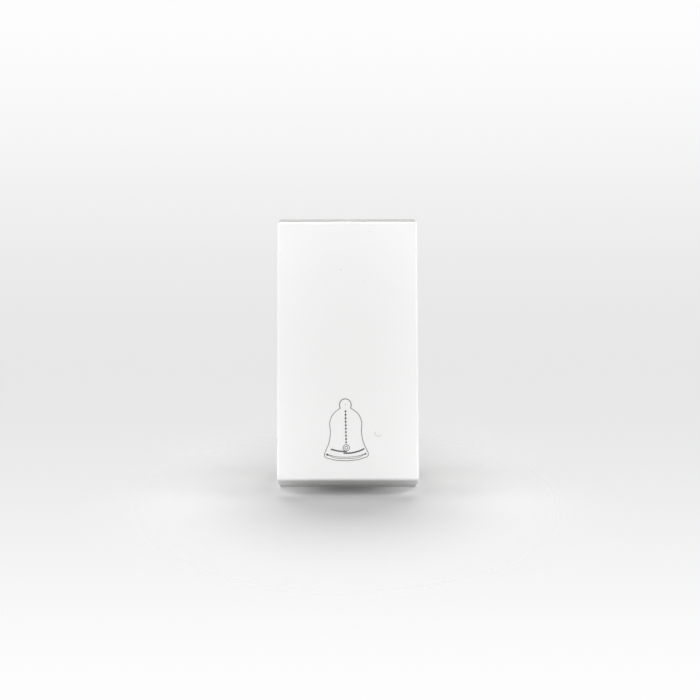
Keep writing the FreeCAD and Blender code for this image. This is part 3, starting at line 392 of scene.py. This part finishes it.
class Marks:
    """Collects thin closed strokes and dots, printed or in relief, to make them one piece."""

    def __init__(self, spot, height):
        self.spot = spot
        self.height = height
        self.vertices = []
        self.faces = []

    def stroke(self, points, width, closed=False):
        """A line with sloping sides."""
        path = points if closed else smooth_through(points, STROKE_STEP)
        path = [np.array(p, float) for p in path]
        count = len(path)
        first = len(self.vertices)
        for index, spot in enumerate(path):
            before = path[index - 1] if closed or index else spot
            after = path[(index + 1) % count] if closed or index < count - 1 else spot
            way = after - before
            left = np.array((-way[1], way[0])) / np.linalg.norm(way)
            for share, rise in STROKE_SECTION:
                self.vertices.append(self.spot(*(spot + left * width * share), rise * self.height))
        corners = len(STROKE_SECTION)
        for index in range(count if closed else count - 1):
            a = first + corners * index
            b = first + corners * ((index + 1) % count)
            for side in range(corners):
                other = (side + 1) % corners
                self.faces.append((a + side, b + side, b + other, a + other))
        if not closed:
            last = first + corners * (count - 1)
            self.faces.append(tuple(first + side for side in range(corners)))
            self.faces.append(tuple(last + side for side in reversed(range(corners))))

    def dot(self, middle, radius, sides=DOT_SIDES):
        """A round spot."""
        first = len(self.vertices)
        for share, rise in DOT_SECTION:
            for x, y in circle(middle, radius * share, sides):
                self.vertices.append(self.spot(x, y, rise * self.height))
        for i in range(sides):
            j = (i + 1) % sides
            self.faces.append((first + i, first + j, first + sides + j, first + sides + i))
        self.faces.append(tuple(first + sides + i for i in range(sides)))
        self.faces.append(tuple(first + sides - 1 - i for i in range(sides)))

    def ring(self, middle, radius, width):
        """A closed round line."""
        self.stroke(circle(middle, radius, RING_SIDES), width, closed=True)

    def make(self, name, material, body):
        """Makes the piece, which rides on a body."""
        piece = new_object(name, self.vertices, self.faces, material, smooth=False)
        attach(piece, body)


# The bell sign, in millimetres from the middle of its lower edge. The outline and the band in
# the rim are given for the right half. SIGN_PLACE is measured on the face from the pivot.
SIGN_PLACE = (-0.23, -19.82)
SIGN_LEAN = math.radians(1.1)
INK_HEIGHT = 0.012 * MM
FINE_LINE = 0.115
KNOB_LINE = 0.15
HAIR_LINE = 0.09
BOLD_LINE = 0.26
BELL_SIDE = [
    (0.89, 9.03), (1.24, 8.8), (1.83, 8.33), (2.39, 7.6), (2.68, 6.7), (2.70, 6.0), (2.62, 5.2),
    (2.68, 4.3), (2.84, 3.4), (3.12, 2.6), (3.42, 1.9), (3.68, 1.3), (3.67, 0.85), (3.38, 0.58),
]
BELL_KNOB = [(0.89, 9.03), (0.98, 9.55), (0.86, 10.12), (0.5, 10.52), (0.0, 10.65)]
BELL_SKIRT = [(3.38, 0.58), (1.8, 0.17), (0.0, 0.0)]
BAND_LINES = [[(3.24, 1.17), (1.7, 0.75), (0.0, 0.62)], [(3.24, 1.12), (1.8, 0.52), (0.0, 0.36)]]
BARS = [
    [(-2.6, 2.05), (-1.2, 1.69), (0.1, 1.63)],
    [(-0.5, 1.34), (0.75, 1.34), (2.1, 1.63), (3.05, 2.03)],
]
CHAIN_TOP = 8.5
CHAIN_STEP = 0.594
CHAIN_BEADS = 10
BEAD_RADIUS = 0.17
RIM_DOTS = [(-3.24, 1.15, 0.2), (3.24, 1.15, 0.16)]
KNOB_DOT = (0.0, 9.66)
KNOB_DOT_RADIUS = 0.07
CLAPPER = (0.0, 2.24)
CLAPPER_RADII = (0.54, 0.25)


def sign_point(across, up, lift):
    """A point of the sign on the key's face, with the sign's slight lean."""
    x = across * math.cos(SIGN_LEAN) - up * math.sin(SIGN_LEAN) + SIGN_PLACE[0]
    y = across * math.sin(SIGN_LEAN) + up * math.cos(SIGN_LEAN) + SIGN_PLACE[1]
    return on_face(x, y, lift)


def bell_sign():
    """The bell printed low on the key: outline, rim, chain, clapper and two curved bars."""
    sign = Marks(sign_point, INK_HEIGHT)
    outline = [(BELL_SIDE, FINE_LINE), (BELL_KNOB, KNOB_LINE), (BELL_SKIRT, FINE_LINE)]
    for line, width in outline + [(line, HAIR_LINE) for line in BAND_LINES]:
        sign.stroke(line, width)
        sign.stroke(mirrored(line), width)
    for bar in BARS:
        sign.stroke(bar, BOLD_LINE)
    for bead in range(CHAIN_BEADS):
        height = CHAIN_TOP - bead * CHAIN_STEP
        sign.dot((0.0, height), BEAD_RADIUS)
        if bead:
            above = height + CHAIN_STEP - BEAD_RADIUS
            sign.stroke([(0.0, above), (0.0, height + BEAD_RADIUS)], HAIR_LINE)
    for radius in CLAPPER_RADII:
        sign.ring(CLAPPER, radius, FINE_LINE)
    for across, up, radius in RIM_DOTS:
        sign.dot((across, up), radius)
    sign.dot(KNOB_DOT, KNOB_DOT_RADIUS)
    sign.make("bell_sign", ink(), "rocker")


bell_sign()


# Faint marks of handling on the face, in millimetres from the pivot: grains of dust with their
# radii, and one short curved scuff.
GRAINS = [
    (-1.1, 13.2, 0.13), (-6.2, 13.15, 0.08), (2.8, 11.2, 0.09), (3.85, 19.85, 0.08), (4.05, 19.7, 0.06),
    (-11.5, 15.8, 0.07), (8.9, 8.4, 0.06), (5.5, -6.9, 0.08), (3.9, -7.0, 0.06),
]
GRAIN_SIDES = 7
SCUFF_PLACE = (5.15, -15.05)
SCUFF_RADIUS = 0.56
SCUFF_START = math.radians(155)
SCUFF_END = math.radians(335)
SCUFF_POINTS = 9
SCUFF_LINE = 0.2


def handling_marks():
    """The grains of dust and the scuff."""
    marks = Marks(on_face, INK_HEIGHT)
    for across, up, radius in GRAINS:
        marks.dot((across, up), radius, sides=GRAIN_SIDES)
    arc = []
    for angle in np.linspace(SCUFF_START, SCUFF_END, SCUFF_POINTS):
        x = SCUFF_PLACE[0] + SCUFF_RADIUS * math.cos(angle)
        y = SCUFF_PLACE[1] + SCUFF_RADIUS * math.sin(angle)
        arc.append((x, y))
    marks.stroke(arc, SCUFF_LINE)
    marks.make("handling_marks", dust(), "rocker")


handling_marks()


# The raised marks that ejector pins and the gate leave on the recessed back of the base,
# in millimetres from the pivot.
PIN_MARKS = [(-6.5, 6.2), (6.5, 6.2), (-6.5, -6.2), (6.5, -6.2)]
PIN_RADIUS = 1.2
PIN_LINE = 0.16
GATE_MARK = (0.0, 0.0)
GATE_RADIUS = 0.5
MARK_HEIGHT = 0.05 * MM


def mould_marks():
    """Four rings and the gate's dot."""
    marks = Marks(on_back, MARK_HEIGHT)
    for spot in PIN_MARKS:
        marks.ring(spot, PIN_RADIUS, PIN_LINE)
    marks.dot(GATE_MARK, GATE_RADIUS)
    marks.make("mould_marks", MATERIALS["base_grey"], "housing")


mould_marks()


# Springs with closed ends, in place of the plain helices. Pitch, grinding and lead are shares
# of the wire.
RINGS_PER_TURN = 36
WIRE_SIDES = 14
CLOSED_TURNS = 1.0
CLOSED_PITCH = 0.85
GROUND_OFF = 0.25
OPEN_LEAD = 1.1


def closed_spring(name, node, axis, wire, turns, body):
    """A coil spring where the frame's helix is, whose end coils lie shut and are ground flat."""
    corners = np.array([v.co for v in NODES[node].data.vertices])
    direction = np.array(axis)
    heights = corners @ direction
    low = heights.min()
    high = heights.max()
    flat = corners - np.outer(heights, direction)
    middle = (flat.max(0) + flat.min(0)) / 2
    side = np.array((1.0, 0.0, 0.0))
    other = np.cross(direction, side)
    coil = (flat @ side).max() - (flat @ side).min()
    radius = (coil - wire) / 2
    rings = int(RINGS_PER_TURN * turns)
    vertices = []
    faces = []
    for ring in range(rings + 1):
        turn = turns * ring / rings
        if turn < CLOSED_TURNS:
            height = low + wire * (0.5 + CLOSED_PITCH * turn) - GROUND_OFF * wire
        elif turn > turns - CLOSED_TURNS:
            height = high - wire * (0.5 + CLOSED_PITCH * (turns - turn)) + GROUND_OFF * wire
        else:
            rise = (turn - CLOSED_TURNS) / (turns - 2 * CLOSED_TURNS)
            height = low + wire * OPEN_LEAD + (high - low - 2 * OPEN_LEAD * wire) * rise
        angle = 2 * math.pi * turn
        out = side * math.cos(angle) + other * math.sin(angle)
        for k in range(WIRE_SIDES):
            around = 2 * math.pi * k / WIRE_SIDES
            along = height + wire / 2 * math.sin(around)
            along = min(max(along, low), high)
            vertices.append(middle + out * (radius + wire / 2 * math.cos(around)) + direction * along)
    for ring in range(rings):
        for k in range(WIRE_SIDES):
            a = ring * WIRE_SIDES + k
            b = ring * WIRE_SIDES + (k + 1) % WIRE_SIDES
            faces.append((a, b, b + WIRE_SIDES, a + WIRE_SIDES))
    faces.append(tuple(range(WIRE_SIDES))[::-1])
    faces.append(tuple(rings * WIRE_SIDES + k for k in range(WIRE_SIDES)))
    piece = new_object(name, vertices, faces, MATERIALS["spring_steel"])
    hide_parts(node)
    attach(piece, body)
    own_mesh(piece)


closed_spring(
    "return_spring_coil", "return_spring", axis=(0.0, 1.0, 0.0), wire=0.5 * MM, turns=7.5,
    body="housing",
)
closed_spring(
    "plunger_spring_coil", "plunger_spring", axis=tuple(FACE_IN), wire=0.32 * MM, turns=11.0,
    body="rocker",
)


# The floor's colour holds painted shade, dimmer near the object than far off. The camera also
# sees painted light on it beside and under the key and a painted shadow at its foot, where other rays
# find it paler, painted light cast back on the key, as FLOOR_BOUNCE_PAINTED_LIGHT says.
# The ranges of BESIDE and UNDER are in millimetres.
FLOOR_PALE = 0.675
FLOOR_DIM_PAINTED_SHADE = 0.46
FLOOR_BESIDE_PAINTED_LIGHT = 0.635
FLOOR_UNDER_PAINTED_LIGHT = 0.85
FLOOR_PAINTED_CONTACT_SHADOW = 0.42
FLOOR_BOUNCE_PAINTED_LIGHT = 0.85
FLOOR_GLOW = 0.06
FLOOR_ROUGHNESS = 0.9
FLOOR_SIZE = 400 * MM
FLOOR_SIDES = 96
FLOOR_MIDDLE = (0.0, -15 * MM)
FLOOR_REACH = (48 * MM, 110 * MM)
FADE_START = 0.3
FLANGE_FRONT = -2.0 * MM
FLOOR_DROP = 0.06 * MM
PAINTED_SHADE_MIDDLE = (0.0, 32 * MM)
PAINTED_SHADE_REACH = (34 * MM, 125 * MM)
PAINTED_LIGHT_BESIDE_ACROSS = (16.0, 24.0)
PAINTED_LIGHT_BESIDE_AHEAD = (3.0, 15.0)
PAINTED_LIGHT_UNDER_ACROSS = (9.3, 13.8)
PAINTED_LIGHT_UNDER_AHEAD = (5.5, 12.5)
PAINTED_CONTACT_SHADOW_REACH = (12.5 * MM, 10.5 * MM)
ORIGIN = (0.0, 0.0)
FAR = 1000 * MM
WHITE = (1.0, 1.0, 1.0, 1.0)


def distance(material, middle, reach):
    """How far a point is from a middle, as a share of an elliptic reach."""
    scale = add_node(
        material, "ShaderNodeMapping", Scale=(1 / reach[0], 1 / reach[1], 1.0),
        Location=(-middle[0] / reach[0], -middle[1] / reach[1], 0.0),
    )
    link(material, place(material), scale.inputs["Vector"])
    length = add_node(material, "ShaderNodeVectorMath")
    length.operation = "LENGTH"
    link(material, scale.outputs["Vector"], length.inputs[0])
    return length.outputs["Value"]


def soft_step(material, factor, low, high, start, end):
    """Maps a factor onto a range of values that levels off at both ends."""
    step = spread(material, factor, low, high, start, end)
    step.node.interpolation_type = "SMOOTHSTEP"
    return step


def product(material, first, second):
    """The product of two factors."""
    node = add_node(material, "ShaderNodeMath")
    node.operation = "MULTIPLY"
    link(material, first, node.inputs[0])
    link(material, second, node.inputs[1])
    return node.outputs[0]


def blend(material, factor, first, second):
    """A grey that goes from the first to the second as the factor goes from 0 to 1."""
    node = add_node(material, "ShaderNodeMapRange")
    link(material, factor, node.inputs["Value"])
    for socket, grey in (("To Min", first), ("To Max", second)):
        if isinstance(grey, float):
            node.inputs[socket].default_value = grey
        else:
            link(material, grey, node.inputs[socket])
    return node.outputs["Result"]


def near(material, across, ahead):
    """1 at the object's foot, going to 0 over a range in mm across and another ahead."""
    beside = soft_step(material, distance(material, ORIGIN, (1 * MM, FAR)), 1.0, 0.0, *across)
    before = soft_step(material, distance(material, ORIGIN, (FAR, 1 * MM)), 1.0, 0.0, *ahead)
    return product(material, beside, before)


def floor():
    """A pale patch of floor that the object leans back on, fading out into the background, with painted
    shade, painted shadow and painted light in its colour.
    """
    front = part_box("front_frame")[0].z
    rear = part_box("rear_base")
    slope = math.atan2(rear[0].z - front, rear[1].y)
    vertices = [(x, y, 0.0) for x, y in circle(ORIGIN, FLOOR_SIZE, FLOOR_SIDES)]
    material, shader = new_material("floor_pale_with_painted_light", (FLOOR_PALE, FLOOR_PALE, FLOOR_PALE), FLOOR_ROUGHNESS)
    shader.inputs["Specular IOR Level"].default_value = 0.0
    shader.inputs["Emission Color"].default_value = WHITE
    thing = new_object("floor", vertices, [tuple(range(FLOOR_SIDES))], material, smooth=False)
    foot = Matrix.Translation((0, FLANGE_FRONT, front - FLOOR_DROP))
    thing.matrix_world = foot @ Matrix.Rotation(slope, 4, "X")
    away = distance(material, FLOOR_MIDDLE, FLOOR_REACH)
    fade = soft_step(material, away, 1.0, 0.0, FADE_START, 1.0)
    link(material, fade, shader.inputs["Alpha"])
    # Painted shade: the floor is darker around and behind the object's foot, as if in its shadow.
    far = soft_step(material, distance(material, PAINTED_SHADE_MIDDLE, PAINTED_SHADE_REACH), 0.0, 1.0, 0.0, 1.0)
    plain = blend(material, far, FLOOR_DIM_PAINTED_SHADE, FLOOR_PALE)
    # Painted light: the camera sees the floor paler beside the object's foot, lifting its shadow there.
    tone = blend(material, near(material, PAINTED_LIGHT_BESIDE_ACROSS, PAINTED_LIGHT_BESIDE_AHEAD), plain, FLOOR_BESIDE_PAINTED_LIGHT)
    # Painted light: the camera sees the floor paler under the key's ends, lifting the key's shadow there.
    tone = blend(material, near(material, PAINTED_LIGHT_UNDER_ACROSS, PAINTED_LIGHT_UNDER_AHEAD), tone, FLOOR_UNDER_PAINTED_LIGHT)
    # Painted shadow: a dark spot on the floor at the middle of the object's foot, seen by the camera.
    contact = soft_step(material, distance(material, ORIGIN, PAINTED_CONTACT_SHADOW_REACH), 1.0, 0.0, 0.0, 1.0)
    tone = blend(material, contact, tone, FLOOR_PAINTED_CONTACT_SHADOW)
    # Painted light: other rays find the floor paler at the foot, so it lights the key's underside from
    # below.
    painted_bounce_light = blend(material, contact, plain, FLOOR_BOUNCE_PAINTED_LIGHT)
    seen = add_node(material, "ShaderNodeLightPath").outputs["Is Camera Ray"]
    link(material, blend(material, seen, painted_bounce_light, tone), shader.inputs["Base Color"])
    link(material, blend(material, seen, 0.0, FLOOR_GLOW), shader.inputs["Emission Strength"])


def sun(name, azimuth, elevation, strength, width):
    """A soft distant lamp, with angles in degrees. Azimuth 0 is in front of the object."""
    data = bpy.data.lights.new(name, "SUN")
    data.energy = strength
    data.angle = math.radians(width)
    lamp = bpy.data.objects.new(name, data)
    a = math.radians(azimuth)
    e = math.radians(elevation)
    toward = Vector((math.sin(a) * math.cos(e), -math.cos(a) * math.cos(e), math.sin(e)))
    lamp.rotation_euler = toward.to_track_quat("Z", "Y").to_euler()
    bpy.context.collection.objects.link(lamp)


# The background's greys by height: darkest at SKY_MIDDLE, palest at SKY_TOP and SKY_BOTTOM.
WORLD_STRENGTH = 0.22
SKY_TOP = 0.145
SKY_MIDDLE = 0.0475
SKY_BOTTOM = -0.04
SKY_DARK = 0.799
SKY_PALE = 0.985


def world():
    """Even light all round, and a pale gradient that only the camera, gloss and glass see."""
    background = bpy.data.worlds.new("studio")
    background.use_nodes = True
    tree = background.node_tree
    lighting = tree.nodes["Background"]
    lighting.inputs["Color"].default_value = WHITE
    lighting.inputs["Strength"].default_value = WORLD_STRENGTH
    gradient = tree.nodes.new("ShaderNodeBackground")
    coordinates = tree.nodes.new("ShaderNodeTexCoord")
    parts = tree.nodes.new("ShaderNodeSeparateXYZ")
    tree.links.new(coordinates.outputs["Generated"], parts.inputs["Vector"])
    paler = tree.nodes.new("ShaderNodeMath")
    paler.operation = "MAXIMUM"
    for index, pale_height in enumerate((SKY_TOP, SKY_BOTTOM)):
        rise = tree.nodes.new("ShaderNodeMapRange")
        rise.interpolation_type = "SMOOTHSTEP"
        rise.inputs["From Min"].default_value = SKY_MIDDLE
        rise.inputs["From Max"].default_value = pale_height
        tree.links.new(parts.outputs["Z"], rise.inputs["Value"])
        tree.links.new(rise.outputs["Result"], paler.inputs[index])
    tone = tree.nodes.new("ShaderNodeMapRange")
    tone.inputs["To Min"].default_value = SKY_DARK
    tone.inputs["To Max"].default_value = SKY_PALE
    tree.links.new(paler.outputs[0], tone.inputs["Value"])
    tree.links.new(tone.outputs["Result"], gradient.inputs["Color"])
    rays = tree.nodes.new("ShaderNodeLightPath").outputs
    shown = rays["Is Camera Ray"]
    for ray in ("Is Glossy Ray", "Is Transmission Ray"):
        either = tree.nodes.new("ShaderNodeMath")
        either.operation = "MAXIMUM"
        tree.links.new(shown, either.inputs[0])
        tree.links.new(rays[ray], either.inputs[1])
        shown = either.outputs[0]
    mix = tree.nodes.new("ShaderNodeMixShader")
    tree.links.new(shown, mix.inputs["Fac"])
    tree.links.new(lighting.outputs[0], mix.inputs[1])
    tree.links.new(gradient.outputs[0], mix.inputs[2])
    tree.links.new(mix.outputs[0], tree.nodes["World Output"].inputs["Surface"])
    bpy.context.scene.world = background


# The photograph's camera, fitted to the key's corners and the flange's edges.
CAMERA_TARGET = Vector((0.4, -8.0, 0.15)) * MM
CAMERA_DISTANCE = 680 * MM
CAMERA_ELEVATION = math.radians(-3.0)
CAMERA_ROLL = math.radians(0.15)
FOCAL_PIXELS = 3993.0
FRAME_PIXELS = 700.0
SENSOR = 36.0
NEAREST = 0.01
FARTHEST = 20.0


def camera():
    """The camera, looking at its target a little from below."""
    data = bpy.data.cameras.new("photo_camera")
    data.sensor_width = SENSOR
    data.lens = FOCAL_PIXELS / FRAME_PIXELS * SENSOR
    data.clip_start = NEAREST
    data.clip_end = FARTHEST
    thing = bpy.data.objects.new("photo_camera", data)
    back = Vector((0, -math.cos(CAMERA_ELEVATION), math.sin(CAMERA_ELEVATION)))
    turn = (-back).to_track_quat("-Z", "Y").to_matrix().to_4x4()
    roll = Matrix.Rotation(-CAMERA_ROLL, 4, "Z")
    thing.matrix_world = Matrix.Translation(CAMERA_TARGET + back * CAMERA_DISTANCE) @ turn @ roll
    bpy.context.collection.objects.link(thing)
    bpy.context.scene.camera = thing


floor()
sun("back_light", azimuth=180, elevation=45, strength=2.9, width=50)
for side, turn in (("left", -1), ("right", 1)):
    sun("front_light_" + side, azimuth=turn * 40, elevation=8, strength=1.22, width=65)
    sun("side_light_" + side, azimuth=turn * 82, elevation=25, strength=1.15, width=40)
world()
camera()
bpy.context.scene.view_settings.view_transform = "Standard"
